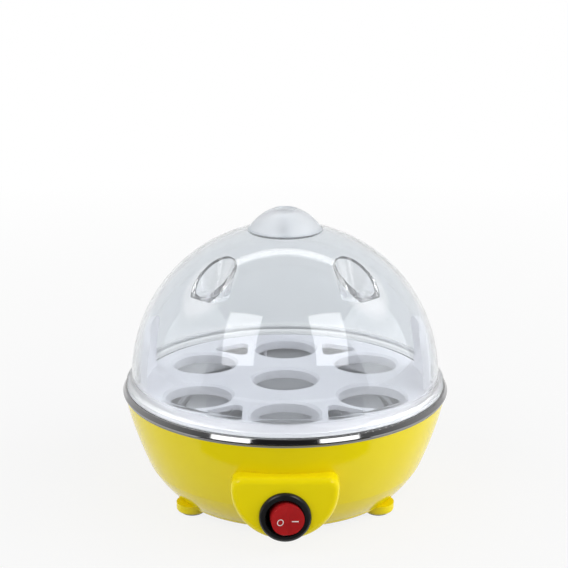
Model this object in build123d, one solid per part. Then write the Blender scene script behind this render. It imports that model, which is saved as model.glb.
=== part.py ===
from build123d import *
import math
import os

# Egg cooker, closed: tray seated in the pan, lid seated on the pan bead.
# Millimetres, +Z up, front at -Y, origin on the table under the vertical axis.
os.makedirs("parts", exist_ok=True)

# General fits
run_gap = 0.05  # radial clearance of a turning pin
slip_gap = 0.1  # radial clearance of a screw or stud in its hole
seat_gap = 0.3  # radial clearance between nested round pieces
past = 1.0  # how far a cut runs past the face it opens
sink = 0.5  # how far a joined piece runs into the one that carries it

# Water pan, spun steel
sheet = 0.8
bead_r = 78.0
bead_width = 4.2
bead_height = 3.0
bead_lean = 1.3  # run of the sloping face from the crown out to the edge
bead_hem = 0.9  # upright edge under the sloping face
bead_round = 1.0
bead_top_z = 55.5
ledge_drop = 6.5
ledge_width = 4.3
well_depth = 8.4  # from the ledge down to the flat ring
slope_run = 4.5
groove_share = 0.654  # groove radius over bead radius
groove_width = 5.0
groove_flat = 1.8
groove_depth = 0.9
disc_rise = 1.0
fold_round = 0.8
floor_round = 2.4
ledge_round = 1.2
crease_round = 0.3
hem_round = 0.6

# Seal ring and base shell
seal_height = 1.0
seal_inset = 1.0
shell_wall = 2.3
flank_run = 10.8  # from the seal edge in to the foot of the flank
flank_foot_rise = 12.8  # foot of the flank above the seam
flank_bulge = 0.86
belly_run = 9.9  # from the foot of the flank in to the seam
belly_bulge = 0.56
seam_z = 5.2
seam_land = 2.4
seam_step = 0.3
rim_depth = 3.5
rib_thick = 2.4

# Switch boss at the front
boss_proud = 1.0  # boss face in front of the bead
boss_half = 23.8
boss_sole = 3.2  # lowest point of the boss above the seam
boss_straight = 5.8
boss_corner = 5.0
boss_round = 3.0

# Bottom cover, feet and cover screws
cover_drop = 2.3
cover_turn = 3.8
foot_inset = 3.4
foot_r = 7.6
foot_low_z = 0.8
foot_azimuths = (34.0, 146.0, 214.0, 326.0)
foot_round = 1.6
pad_r = 5.4
pad_height = 2.0
cover_screw_inset = 4.8
cover_screw_azimuths = (0.0, 60.0, 120.0, 180.0)
cover_boss_r = 4.0
cover_boss_height = 14.8
cover_rib_height = 11.8
cover_screw_r = 1.25
cover_screw_blind = 4.0  # left solid above the screw tip
cover_head_r = 2.9
cover_head_height = 1.4
cover_head_web = 1.1  # cover left above the screw head
slot_count = 5
slot_pitch = 8.0
slot_length = 30.0
slot_width = 2.4

# Pan posts, brackets and screws
post_azimuths = (40.0, 140.0, 220.0, 320.0)
post_r = 4.2
post_height = 12.0
post_rib_inset = 1.0
bracket_sheet = 1.2
bracket_half = 3.5
bracket_rise = 3.8
bracket_tab = 5.0
bracket_reach = 14.0
pan_screw_r = 1.5
pan_screw_past = 2.4
pan_head_r = 2.8
pan_head_height = 2.4

# Heater stack under the pan
spreader_gap = 2.5
spreader_thick = 3.0
clamp_inset = 5.0
clamp_sheet = 1.0
element_inset = 7.0
element_width = 7.0
element_height = 6.0
element_round = 2.0
element_gap_deg = 50.0
element_end_r = 3.0
element_end_drop = 4.8
element_end_gap = 1.0
pin_r = 1.2
pin_length = 8.0
stud_r = 2.5
stud_past = 3.6
washer_r = 6.0
washer_thick = 0.8
nut_flats = 8.0
nut_height = 3.4

# Thermostat and thermal fuse
thermo_gap = 1.5
thermo_cap_r = 8.0
thermo_flange_r = 9.6
thermo_flange_thick = 1.0
thermo_body_r = 7.9
thermo_body_height = 9.3
tab_width = 6.3
tab_thick = 0.8
tab_spread = 5.0
tab_length = 8.0
tab_grip = 2.0  # wire joins the tab this far above its end
fuse_y = 14.0
fuse_drop = 2.8
fuse_r = 2.0
fuse_length = 11.0
fuse_lead_r = 0.5
fuse_lead_reach = 12.0
clip_half_x = 2.5
clip_half_y = 4.5
clip_height = 5.6

# Terminal block
block_half_x = 12.0
block_gap = 2.0
block_depth = 12.0
block_height = 12.0
block_way_x = 8.0
way_width = 5.2
way_height = 6.2
way_rise = 2.8
block_screw_r = 1.4
block_screw_bite = 1.7
block_head_r = 2.6
block_head_height = 1.8

# Cord gland at the back
gland_z = 22.0
gland_pad_r = 11.0
gland_pad_inset = 4.5
gland_pad_depth = 15.5
gland_tube_r = 6.0
gland_flange_r = 9.5
gland_flange_thick = 3.0
gland_round = 1.0
nozzle_r = 5.2
nozzle_reach = 11.0
gland_nut_r = 9.0
gland_nut_thick = 4.0
gland_tail = 6.0
cord_bore_r = 3.2

# Round rocker switch
bezel_r = 11.5
bezel_thick = 2.0
bezel_round = 1.6
bezel_edge = 0.1  # bezel inside the boss outline at its lowest point
bezel_lip = 1.6
body_length = 19.0
barrel_wall = 1.2
cavity_depth = 13.0
snap_lip = 1.1
snap_length = 4.0
snap_half_z = 3.0
pivot_depth = 3.0
pivot_r = 1.0
pivot_bite = 0.7
pivot_end_gap = 0.2
rocker_gap = 1.4
rocker_blank = 4.0
valley_proud = 3.0
rocker_back_depth = 5.5
rocker_facet_deg = 10.0
rocker_rest_deg = 10.0
stub_r = 2.2
stub_depth = 9.0
switch_tab_width = 4.8
switch_tab_reach = 27.0
contact_half = 1.4
contact_thick = 0.8

# Wires
wire_r = 1.1
live_bow = 28.0
neutral_bow = 19.5
fuse_dip = 8.0

# Egg tray
tray_wall = 2.0
tray_wall_height = 5.0
shoulder_rise = 2.0
shoulder_width = 3.5
shoulder_round = 1.2
tray_edge_round = 0.8
deck_thick = 2.4
seat_hole_r = 15.5
seat_edge = 8.0
seat_count = 6
seat_bevel = 1.2
collar_thick = 1.6
collar_drop = 3.0
vent_azimuths = (60.0, 120.0, 240.0, 300.0)
vent_edge = 11.5
vent_length = 20.0
vent_half = 11.5
vent_round = 3.2
peg_inset = 3.5
peg_azimuths = (10.0, 100.0, 190.0, 280.0)
peg_r = 0.9
handle_foot_gap = 1.98  # handle to the inside of the lid, at three heights
handle_mid_gap = 1.57
handle_top_gap = 0.71
handle_mid_height = 14.0
handle_height = 28.5
handle_thick = 2.6
handle_half_deg = 16.0
handle_round = 9.0
handle_slot = 1.8
slot_half_deg = 15.0

# Lid
lid_wall = 2.0
flange_inset = 1.9
flange_height = 2.2
flange_width = 3.9
skirt_height = 8.0
skirt_flare = 0.75
skirt_flare_rise = 1.9
dome_inset = 2.46
dome_rise = 3.39  # centre of the dome above the flange seat
land_drop = 2.13
pocket_azimuths = (225.0, 315.0)
pocket_inset = 26.14
pocket_floor_radius = 6.7
pocket_lip = 0.74
pocket_lean = 3.5
pocket_top_radius = 10.4
pocket_over = 4.08
pocket_wall = 1.8
steam_hole_r = 1.6

# Lid knob and its screw
knob_inset = 0.18
knob_waist = 4.5
knob_mid_rise = 5.3
knob_crown_r = 5.4
knob_rise = 9.7
knob_dimple = 0.6
knob_wall = 1.8
knob_post_r = 3.5
knob_screw_r = 1.25
knob_head_r = 3.2
knob_head_thick = 2.0
knob_screw_rise = 6.0
knob_screw_end_gap = 0.4

# Pan sizes that follow
bead_low_z = bead_top_z - bead_height
bead_in_r = bead_r - bead_width
bead_crown_r = bead_r - bead_lean
ledge_z = bead_top_z - ledge_drop
ledge_in_r = bead_in_r - ledge_width
floor_z = ledge_z - well_depth
floor_r = ledge_in_r - slope_run
groove_r = groove_share * bead_r
groove_in_r = groove_r - groove_width / 2
groove_out_r = groove_r + groove_width / 2
disc_z = floor_z + disc_rise

# Shell, boss and cover sizes that follow
seal_low_z = bead_low_z - seal_height
seal_in_r = bead_in_r + sheet + seat_gap
seal_out_r = bead_r - seal_inset
flank_foot_r = seal_out_r - flank_run
flank_foot_z = seam_z + flank_foot_rise
seam_r = flank_foot_r - belly_run
boss_face_y = -bead_r - boss_proud
boss_inner_y = boss_face_y + shell_wall
boss_arc_z = seam_z + boss_sole + boss_half
boss_top_z = boss_arc_z + boss_straight
cover_low_z = seam_z - cover_drop
foot_pitch_r = seam_r - foot_inset
boss_back_y = -foot_pitch_r
cover_screw_pitch_r = seam_r - cover_screw_inset
cover_boss_top_z = seam_z + cover_boss_height
cover_screw_top_z = cover_boss_top_z - cover_screw_blind
cover_head_top_z = seam_z - cover_head_web
cover_head_low_z = cover_head_top_z - cover_head_height
post_pitch_r = (groove_out_r + floor_r) / 2
bracket_top_z = floor_z - sheet
post_top_z = bracket_top_z - bracket_rise
post_low_z = post_top_z - post_height
pan_screw_top_z = post_top_z + pan_screw_past

# Heater, block and gland sizes that follow
spreader_r = groove_in_r - spreader_gap
spreader_low_z = disc_z - sheet - spreader_thick
clamp_r = spreader_r - clamp_inset
element_r = clamp_r - element_inset
element_low_z = spreader_low_z - element_height
element_end_low_z = element_low_z - element_end_drop
pin_low_z = element_end_low_z - pin_length
clamp_low_z = element_low_z - clamp_sheet
washer_low_z = clamp_low_z - washer_thick
nut_low_z = washer_low_z - nut_height
stud_low_z = nut_low_z - stud_past
thermo_y = -(element_r - element_width / 2 - thermo_gap - thermo_flange_r)
thermo_body_low_z = element_low_z - thermo_body_height
thermo_tab_low_z = thermo_body_low_z - tab_length
fuse_z = clamp_low_z - fuse_drop
gland_pad_out_y = bead_r - gland_pad_inset
gland_pad_in_y = gland_pad_out_y - gland_pad_depth
gland_in_y = gland_pad_in_y - gland_tail
nozzle_out_y = gland_pad_out_y + nozzle_reach
block_back_y = gland_in_y - block_gap
block_front_y = block_back_y - block_depth
block_mid_y = (block_front_y + block_back_y) / 2
block_top_z = seam_z + block_height
block_screw_low_z = seam_z - block_screw_bite
way_low_z = seam_z + way_rise
way_mid_z = way_low_z + way_height / 2

# Switch sizes that follow
switch_z = boss_arc_z - (boss_half - bezel_r - bezel_edge)
bezel_front_y = boss_face_y - bezel_thick
body_r = bezel_r - bezel_lip
body_back_y = boss_face_y + body_length
opening_r = body_r - barrel_wall
cavity_floor_y = boss_face_y + cavity_depth
snap_r = body_r + snap_lip
pivot_y = boss_face_y + pivot_depth
pivot_reach = opening_r + pivot_bite
rocker_r = opening_r - rocker_gap
rocker_valley_y = boss_face_y - valley_proud
rocker_back_y = boss_face_y + rocker_back_depth
stub_back_y = boss_face_y + stub_depth
switch_tab_back_y = boss_face_y + switch_tab_reach

# Tray and lid sizes that follow
lid_z = bead_top_z
tray_r = bead_in_r - seat_gap
tray_edge_z = ledge_z + tray_wall_height
deck_z = tray_edge_z + shoulder_rise
deck_low_z = deck_z - deck_thick
deck_r = tray_r - shoulder_width
seat_pitch_r = deck_r - seat_hole_r - seat_edge
vent_out_r = deck_r - vent_edge
vent_in_r = vent_out_r - vent_length
peg_pitch_r = floor_r - peg_inset
flange_r = bead_r - flange_inset
flange_in_r = flange_r - flange_width
dome_r = flange_r - dome_inset
dome_in_r = dome_r - lid_wall
land_height = dome_rise + dome_r - land_drop
inner_land = land_height - lid_wall
pocket_floor_r = dome_r - pocket_inset
pocket_top_r = pocket_floor_r - pocket_lean


def xz_face(edges):
    """Face in the XZ plane bounded by edges drawn in (x, z)."""
    return Plane.XZ * make_face(edges)


def rounded_face(points):
    """Closed outline in the XZ plane from (x, z) or (x, z, radius) corners."""
    spots = []
    count = len(points)
    for i in range(count):
        here = points[i]
        x, z = here[0], here[1]
        radius = here[2] if len(here) > 2 else 0.0
        if radius <= 0.0:
            spots.append(((x, z), None, (x, z)))
            continue
        before = points[i - 1]
        after = points[(i + 1) % count]
        ax, az = before[0] - x, before[1] - z
        bx, bz = after[0] - x, after[1] - z
        la, lb = math.hypot(ax, az), math.hypot(bx, bz)
        ax, az, bx, bz = ax / la, az / la, bx / lb, bz / lb
        half = math.acos(max(-1.0, min(1.0, ax * bx + az * bz))) / 2.0
        back = radius / math.tan(half)
        mx, mz = ax + bx, az + bz
        lm = math.hypot(mx, mz)
        dip = radius / math.sin(half) - radius
        middle = (x + mx / lm * dip, z + mz / lm * dip)
        first = (x + ax * back, z + az * back)
        last = (x + bx * back, z + bz * back)
        spots.append((first, middle, last))
    edges = []
    for i in range(count):
        first, middle, last = spots[i]
        if middle is not None:
            edges.append(ThreePointArc(first, middle, last))
        ahead = spots[(i + 1) % count][0]
        if math.hypot(ahead[0] - last[0], ahead[1] - last[1]) > 1e-6:
            edges.append(Line(last, ahead))
    return xz_face(edges)


def turned(points, degrees=360.0):
    return revolve(rounded_face(points), Axis.Z, degrees)


def bulged(start, end, bulge):
    """Arc in (x, z) from start to end whose middle stands out to the left of the chord."""
    run, rise = end[0] - start[0], end[1] - start[1]
    length = math.hypot(run, rise)
    mid_x = (start[0] + end[0]) / 2 - rise / length * bulge
    mid_z = (start[1] + end[1]) / 2 + run / length * bulge
    return ThreePointArc(start, (mid_x, mid_z), end)


def disc(radius, low, high, x=0.0, y=0.0):
    return Pos(x, y, (low + high) / 2) * Cylinder(radius, high - low)


def bar_y(radius, front, back, x=0.0, z=0.0):
    """Cylinder along Y from front to back."""
    middle = (front + back) / 2.0
    return Pos(x, middle, z) * Rot(90, 0, 0) * Cylinder(radius, back - front)


def bar_x(radius, low, high, y, z):
    """Cylinder along X from low to high."""
    return Pos((low + high) / 2, y, z) * Rot(0, 90, 0) * Cylinder(radius, high - low)


def slab(x0, x1, y0, y1, z0, z1):
    return Pos((x0 + x1) / 2, (y0 + y1) / 2, (z0 + z1) / 2) * Box(x1 - x0, y1 - y0, z1 - z0)


def polar(radius, degrees):
    return radius * math.cos(math.radians(degrees)), radius * math.sin(math.radians(degrees))


def at_azimuth(shape, degrees):
    return Rot(0, 0, degrees) * shape


def save(shape, node):
    shape.label = node
    export_step(shape, "parts/" + node + ".step")


def group(shapes):
    return Compound(children=list(shapes))


# Water pan: bead, wall, ledge, slope, flat ring, groove and raised disc in one sheet
groove_low_z = floor_z - groove_depth
wall_out_r = bead_in_r + sheet
slope_out_r = ledge_in_r + sheet / 2
floor_out_r = floor_r + sheet / 2
flat_half = groove_flat / 2
under_half = flat_half + sheet / 4
under_in_r = groove_in_r - sheet / 3
under_out_r = groove_out_r + sheet / 3
pan_outline = [
    (0.0, disc_z),
    (groove_in_r, disc_z, fold_round),
    (groove_r - flat_half, groove_low_z, fold_round),
    (groove_r + flat_half, groove_low_z, fold_round),
    (groove_out_r, floor_z, fold_round),
    (floor_r, floor_z, floor_round),
    (ledge_in_r, ledge_z, ledge_round),
    (bead_in_r, ledge_z, crease_round),
    (bead_in_r, bead_top_z, bead_round),
    (bead_crown_r, bead_top_z, bead_round),
    (bead_r, bead_low_z + bead_hem, fold_round),
    (bead_r, bead_low_z, hem_round),
    (wall_out_r, bead_low_z),
    (wall_out_r, ledge_z - sheet, fold_round),
    (slope_out_r, ledge_z - sheet, hem_round),
    (floor_out_r, floor_z - sheet, floor_round + sheet),
    (under_out_r, floor_z - sheet, hem_round),
    (groove_r + under_half, groove_low_z - sheet, hem_round),
    (groove_r - under_half, groove_low_z - sheet, hem_round),
    (under_in_r, disc_z - sheet, hem_round),
    (0.0, disc_z - sheet),
]
water_pan = turned(pan_outline)
save(water_pan, "water_pan")

# Seal ring under the bead
seal_outline = [
    (seal_in_r, seal_low_z),
    (seal_out_r, seal_low_z),
    (seal_out_r, bead_low_z),
    (seal_in_r, bead_low_z),
]
save(turned(seal_outline), "pan_seal")

# Base shell: bowl with the switch boss, screw bosses, pan posts and gland pad
flank_foot = (flank_foot_r, flank_foot_z)
flank = bulged((seal_out_r, seal_low_z), flank_foot, flank_bulge)
belly = bulged(flank_foot, (seam_r, seam_z), belly_bulge)
outer_edges = [
    flank,
    belly,
    Line((seam_r, seam_z), (0.0, seam_z)),
    Line((0.0, seam_z), (0.0, seal_low_z)),
    Line((0.0, seal_low_z), (seal_out_r, seal_low_z)),
]
bowl_solid = revolve(xz_face(outer_edges), Axis.Z)
inner_top_z = seal_low_z - rim_depth
inner_seam_r = seam_r - shell_wall - seam_step
inner_foot = (flank_foot_r - 0.9 * shell_wall, flank_foot_z + 0.5 * shell_wall)
seam_land_z = seam_z + seam_land
flank_slope = math.atan2(seal_low_z - flank_foot_z, flank_run)
inner_mid_r = (seal_out_r + flank_foot_r) / 2 + (flank_bulge - shell_wall) * math.sin(flank_slope)
inner_mid_z = (seal_low_z + flank_foot_z) / 2 - (flank_bulge - shell_wall) * math.cos(flank_slope)
inner_edges = [
    Line((0.0, seal_low_z), (seal_in_r, seal_low_z)),
    Line((seal_in_r, seal_low_z), (seal_in_r, inner_top_z)),
    ThreePointArc((seal_in_r, inner_top_z), (inner_mid_r, inner_mid_z), inner_foot),
    Line(inner_foot, (inner_seam_r, seam_land_z)),
    Line((inner_seam_r, seam_land_z), (inner_seam_r, seam_z)),
    Line((inner_seam_r, seam_z), (0.0, seam_z)),
    Line((0.0, seam_z), (0.0, seal_low_z)),
]
bowl_hollow = revolve(xz_face(inner_edges), Axis.Z)


def boss_block(half, top_z, front_y, back_y, corner):
    """Boss outline: straight top and sides over a half round, along Y, with round top corners."""
    outline = [
        Line((-half, boss_arc_z), (-half, top_z)),
        Line((-half, top_z), (half, top_z)),
        Line((half, top_z), (half, boss_arc_z)),
        ThreePointArc((half, boss_arc_z), (0.0, boss_arc_z - half), (-half, boss_arc_z)),
    ]
    face = xz_face(outline)
    block = Pos(0, back_y, 0) * extrude(face, amount=back_y - front_y)
    return fillet(block.edges().filter_by(Axis.Y).group_by(Axis.Z)[-1], corner)


boss_outer = boss_block(boss_half, boss_top_z, boss_face_y, boss_back_y, boss_corner)
boss_front_edges = boss_outer.edges().group_by(Axis.Y)[0]
boss_outer = fillet(boss_front_edges, boss_round)
boss_in_half = boss_half - shell_wall
boss_in_top_z = boss_top_z - shell_wall
boss_in_corner = boss_corner - shell_wall
boss_inner = boss_block(boss_in_half, boss_in_top_z, boss_inner_y, boss_back_y + past, boss_in_corner)
gland_pad = bar_y(gland_pad_r, gland_pad_in_y, gland_pad_out_y, z=gland_z)
base_shell = bowl_solid + boss_outer - bowl_hollow - boss_inner + gland_pad
for azimuth in cover_screw_azimuths:
    x, y = polar(cover_screw_pitch_r, azimuth)
    rib_top_z = seam_z + cover_rib_height
    rib = slab(cover_screw_pitch_r, seal_out_r, -rib_thick / 2, rib_thick / 2, seam_z, rib_top_z)
    rib = at_azimuth(rib, azimuth) & bowl_solid
    base_shell += disc(cover_boss_r, seam_z, cover_boss_top_z, x, y) + rib
for azimuth in post_azimuths:
    x, y = polar(post_pitch_r, azimuth)
    low_z, high_z = post_low_z + post_rib_inset, post_top_z - post_rib_inset
    rib = slab(post_pitch_r, seal_out_r, -rib_thick / 2, rib_thick / 2, low_z, high_z)
    rib = at_azimuth(rib, azimuth) & bowl_solid
    base_shell += disc(post_r, post_low_z, post_top_z, x, y) + rib
for azimuth in cover_screw_azimuths:
    x, y = polar(cover_screw_pitch_r, azimuth)
    base_shell -= disc(cover_screw_r + run_gap, seam_z - past, cover_screw_top_z + past, x, y)
for azimuth in post_azimuths:
    x, y = polar(post_pitch_r, azimuth)
    base_shell -= disc(pan_screw_r + slip_gap, post_low_z - past, post_top_z + past, x, y)
base_shell -= bar_y(body_r + slip_gap, boss_face_y - past, body_back_y + past, z=switch_z)
base_shell -= bar_y(gland_tube_r + slip_gap, gland_pad_in_y - past, gland_pad_out_y + past, z=gland_z)
save(base_shell, "base_shell")

# Bottom cover with four foot lumps, screw holes and air slots
cover_flat_r = seam_r - cover_turn
cover_turn_mid = (seam_r - 0.34 * cover_turn, cover_low_z + 0.33 * cover_drop)
cover_edges = [
    Line((0.0, cover_low_z), (cover_flat_r, cover_low_z)),
    ThreePointArc((cover_flat_r, cover_low_z), cover_turn_mid, (seam_r, seam_z)),
    Line((seam_r, seam_z), (0.0, seam_z)),
    Line((0.0, seam_z), (0.0, cover_low_z)),
]
bottom_cover = revolve(xz_face(cover_edges), Axis.Z)
for azimuth in foot_azimuths:
    x, y = polar(foot_pitch_r, azimuth)
    lump = disc(foot_r, foot_low_z, seam_z, x, y)
    lump = fillet(lump.edges().group_by(Axis.Z)[0], foot_round)
    bottom_cover += lump
for azimuth in foot_azimuths:
    x, y = polar(foot_pitch_r, azimuth)
    bottom_cover -= disc(pad_r + slip_gap, 0.0, pad_height, x, y)
for azimuth in cover_screw_azimuths:
    x, y = polar(cover_screw_pitch_r, azimuth)
    bottom_cover -= disc(cover_screw_r + seat_gap, 0.0, seam_z + past, x, y)
    bottom_cover -= disc(cover_head_r + slip_gap, 0.0, cover_head_top_z, x, y)
for i in range(slot_count):
    x = (i - (slot_count - 1) / 2) * slot_pitch
    low, high = -slot_length / 2, slot_length / 2
    bottom_cover -= slab(x - slot_width / 2, x + slot_width / 2, low, high, 0.0, seam_z + past)
bottom_cover -= disc(block_screw_r + run_gap, block_screw_low_z, seam_z + past, 0.0, block_mid_y)
save(bottom_cover, "bottom_cover")

pads = [disc(pad_r, 0.0, pad_height, *polar(foot_pitch_r, a)) for a in foot_azimuths]
save(group(pads), "rubber_feet")

cover_screws = []
for azimuth in cover_screw_azimuths:
    x, y = polar(cover_screw_pitch_r, azimuth)
    shank = disc(cover_screw_r, cover_head_top_z, cover_screw_top_z, x, y)
    cover_screws.append(disc(cover_head_r, cover_head_low_z, cover_head_top_z, x, y) + shank)
save(group(cover_screws), "cover_screws")

# Pan brackets: bent tabs between the pan floor and the posts
bracket_line = [
    (-bracket_tab, post_top_z),
    (bracket_tab + bracket_sheet, post_top_z),
    (bracket_tab + bracket_sheet, bracket_top_z - bracket_sheet),
    (bracket_reach, bracket_top_z - bracket_sheet),
    (bracket_reach, bracket_top_z),
    (bracket_tab, bracket_top_z),
    (bracket_tab, post_top_z + bracket_sheet),
    (-bracket_tab, post_top_z + bracket_sheet),
]
bracket_face = make_face(Plane.YZ * Polyline(*bracket_line, close=True))
bracket_one = Pos(post_pitch_r - bracket_half, 0, 0) * extrude(bracket_face, amount=2 * bracket_half)
bracket_hole_top_z = post_top_z + 2 * bracket_sheet
bracket_one -= disc(pan_screw_r + run_gap, post_top_z - past, bracket_hole_top_z, post_pitch_r, 0.0)
save(group([at_azimuth(bracket_one, a) for a in post_azimuths]), "pan_brackets")

pan_screws = []
for azimuth in post_azimuths:
    x, y = polar(post_pitch_r, azimuth)
    head = disc(pan_head_r, post_low_z - pan_head_height, post_low_z, x, y)
    pan_screws.append(head + disc(pan_screw_r, post_low_z, pan_screw_top_z, x, y))
save(group(pan_screws), "pan_screws")

# Heater stack
save(disc(spreader_r, spreader_low_z, disc_z - sheet), "heat_spreader")

element_line = [
    (element_r - element_width / 2, element_low_z, element_round),
    (element_r + element_width / 2, element_low_z, element_round),
    (element_r + element_width / 2, spreader_low_z, element_round),
    (element_r - element_width / 2, spreader_low_z, element_round),
]
heating_element = turned(element_line, 360.0 - element_gap_deg)
heating_element = at_azimuth(heating_element, element_gap_deg / 2)
element_ends = [polar(element_r, s * element_gap_deg / 2) for s in (1, -1)]
for x, y in element_ends:
    heating_element += disc(element_end_r, element_end_low_z, spreader_low_z, x, y)
save(heating_element, "heating_element")
save(group([disc(pin_r, pin_low_z, element_end_low_z, x, y) for x, y in element_ends]), "element_pins")

clamp_plate = disc(clamp_r, clamp_low_z, element_low_z)
clamp_plate -= disc(stud_r + slip_gap, clamp_low_z - past, element_low_z + past)
clamp_plate -= disc(thermo_body_r + seat_gap, clamp_low_z - past, element_low_z + past, 0.0, thermo_y)
for x, y in element_ends:
    clamp_plate -= disc(element_end_r + element_end_gap, clamp_low_z - past, element_low_z + past, x, y)
save(clamp_plate, "clamp_plate")
save(disc(stud_r, stud_low_z, spreader_low_z), "clamp_stud")
clamp_washer = disc(washer_r, washer_low_z, clamp_low_z)
clamp_washer -= disc(stud_r + slip_gap, washer_low_z - past, clamp_low_z + past)
save(clamp_washer, "clamp_washer")
nut_face = RegularPolygon(nut_flats / 2, 6, major_radius=False)
clamp_nut = Pos(0, 0, nut_low_z) * extrude(nut_face, amount=nut_height)
clamp_nut -= disc(stud_r + run_gap, nut_low_z - past, washer_low_z + past)
save(clamp_nut, "clamp_nut")

# Thermostat held up against the spreader by the clamp plate
thermo_flange_top_z = element_low_z + thermo_flange_thick
thermostat_cap = disc(thermo_flange_r, element_low_z, thermo_flange_top_z, 0.0, thermo_y)
thermostat_cap += disc(thermo_cap_r, element_low_z, spreader_low_z, 0.0, thermo_y)
save(thermostat_cap, "thermostat_cap")
save(disc(thermo_body_r, thermo_body_low_z, element_low_z, 0.0, thermo_y), "thermostat_body")
tab_front_y = thermo_y - tab_width / 2
tab_back_y = thermo_y + tab_width / 2
tabs = []
for side in (1, -1):
    x = side * tab_spread
    low_x, high_x = x - tab_thick / 2, x + tab_thick / 2
    tabs.append(slab(low_x, high_x, tab_front_y, tab_back_y, thermo_tab_low_z, thermo_body_low_z))
save(group(tabs), "thermostat_tabs")


# Thermal fuse in a clip under the clamp plate
thermal_fuse = bar_x(fuse_r, -fuse_length / 2, fuse_length / 2, fuse_y, fuse_z)
thermal_fuse += bar_x(fuse_lead_r, -fuse_lead_reach, fuse_lead_reach, fuse_y, fuse_z)
save(thermal_fuse, "thermal_fuse")
clip_low_z = clamp_low_z - clip_height
clip_front_y, clip_back_y = fuse_y - clip_half_y, fuse_y + clip_half_y
fuse_clip = slab(-clip_half_x, clip_half_x, clip_front_y, clip_back_y, clip_low_z, clamp_low_z)
fuse_clip -= bar_x(fuse_r + run_gap, -clip_half_x - past, clip_half_x + past, fuse_y, fuse_z)
save(fuse_clip, "fuse_clip")

# Terminal block on the cover
way_top_z = way_low_z + way_height
terminal_block = slab(-block_half_x, block_half_x, block_front_y, block_back_y, seam_z, block_top_z)
for side in (1, -1):
    x = side * block_way_x
    low_x, high_x = x - way_width / 2, x + way_width / 2
    terminal_block -= slab(low_x, high_x, block_front_y - past, block_back_y + past, way_low_z, way_top_z)
terminal_block -= disc(block_screw_r + slip_gap, seam_z - past, block_top_z + past, 0.0, block_mid_y)
save(terminal_block, "terminal_block")
clamp_half = way_width / 2 - slip_gap
clamp_top_z = way_top_z - slip_gap
ways = []
for side in (1, -1):
    x = side * block_way_x
    ways.append(slab(x - clamp_half, x + clamp_half, block_front_y, block_back_y, way_low_z, clamp_top_z))
save(group(ways), "block_clamps")
block_screw = disc(block_screw_r, block_screw_low_z, block_top_z, 0.0, block_mid_y)
block_screw += disc(block_head_r, block_top_z, block_top_z + block_head_height, 0.0, block_mid_y)
save(block_screw, "block_screw")

# Cord gland through the back wall, with a nut inside
cord_gland = bar_y(gland_tube_r, gland_in_y, gland_pad_out_y, z=gland_z)
cord_gland += bar_y(gland_flange_r, gland_pad_out_y, gland_pad_out_y + gland_flange_thick, z=gland_z)
gland_rim = cord_gland.edges().group_by(Axis.Y)[-1]
cord_gland = fillet(gland_rim, gland_round)
cord_gland += bar_y(nozzle_r, gland_pad_out_y, nozzle_out_y, z=gland_z)
cord_gland -= bar_y(cord_bore_r, gland_in_y - past, nozzle_out_y + past, z=gland_z)
save(cord_gland, "cord_gland")
gland_nut_face = RegularPolygon(gland_nut_r, 6)
gland_nut = Plane.XZ * extrude(gland_nut_face, amount=-gland_nut_thick)
gland_nut = Pos(0, gland_pad_in_y - gland_nut_thick, gland_z) * gland_nut
gland_nut -= bar_y(gland_tube_r + run_gap, gland_in_y - past, gland_pad_in_y + past, z=gland_z)
save(gland_nut, "gland_nut")

# Switch housing: bezel, barrel, cavity, snap lugs and pivot holes
switch_housing = bar_y(bezel_r, bezel_front_y, boss_face_y, z=switch_z)
switch_housing = fillet(switch_housing.edges().group_by(Axis.Y)[0], bezel_round)
switch_housing += bar_y(body_r, boss_face_y, body_back_y, z=switch_z)
lug_low, lug_high = switch_z - snap_half_z, switch_z + snap_half_z
lugs = slab(-snap_r, snap_r, boss_inner_y, boss_inner_y + snap_length, lug_low, lug_high)
switch_housing += lugs
switch_housing -= bar_y(opening_r, bezel_front_y - past, cavity_floor_y, z=switch_z)
hole_reach = pivot_reach + pivot_end_gap
pivot_hole = disc(pivot_r + run_gap, switch_z - hole_reach, switch_z + hole_reach, 0.0, pivot_y)
switch_housing -= pivot_hole
for side in (1, -1):
    x = side * tab_spread
    half_x, half_z = tab_thick / 2 + run_gap, switch_tab_width / 2 + run_gap
    low_z, high_z = switch_z - half_z, switch_z + half_z
    switch_housing -= slab(x - half_x, x + half_x, cavity_floor_y - past, body_back_y + past, low_z, high_z)
save(switch_housing, "switch_housing")

switch_tabs = []
contact_front_y = cavity_floor_y - contact_thick
for side in (1, -1):
    x = side * tab_spread
    low_z, high_z = switch_z - switch_tab_width / 2, switch_z + switch_tab_width / 2
    blade = slab(x - tab_thick / 2, x + tab_thick / 2, cavity_floor_y, switch_tab_back_y, low_z, high_z)
    contact = slab(x - contact_half, x + contact_half, contact_front_y, cavity_floor_y, low_z, high_z)
    switch_tabs.append(blade + contact)
save(group(switch_tabs), "switch_tabs")

# Rocker: round cap with two facets meeting in a shallow valley, on two short trunnions
rocker_front_y = rocker_valley_y - rocker_blank
rocker = bar_y(rocker_r, rocker_front_y, rocker_back_y, z=switch_z)
wide = rocker_r + past
rise_wide = wide * math.tan(math.radians(rocker_facet_deg))
valley_line = [
    (0.0, rocker_valley_y),
    (wide, rocker_valley_y - rise_wide),
    (wide, rocker_front_y - past),
    (-wide, rocker_front_y - past),
    (-wide, rocker_valley_y - rise_wide),
]
valley = make_face(Polyline(*valley_line, close=True))
valley = Pos(0, 0, switch_z - wide) * extrude(valley, amount=2 * wide)
rocker -= valley
rocker += bar_y(stub_r, rocker_back_y, stub_back_y, z=switch_z)
rocker += disc(pivot_r, switch_z - pivot_reach, switch_z + pivot_reach, 0.0, pivot_y)
turn = Pos(0, pivot_y, 0) * Rot(0, 0, rocker_rest_deg) * Pos(0, -pivot_y, 0)
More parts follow.
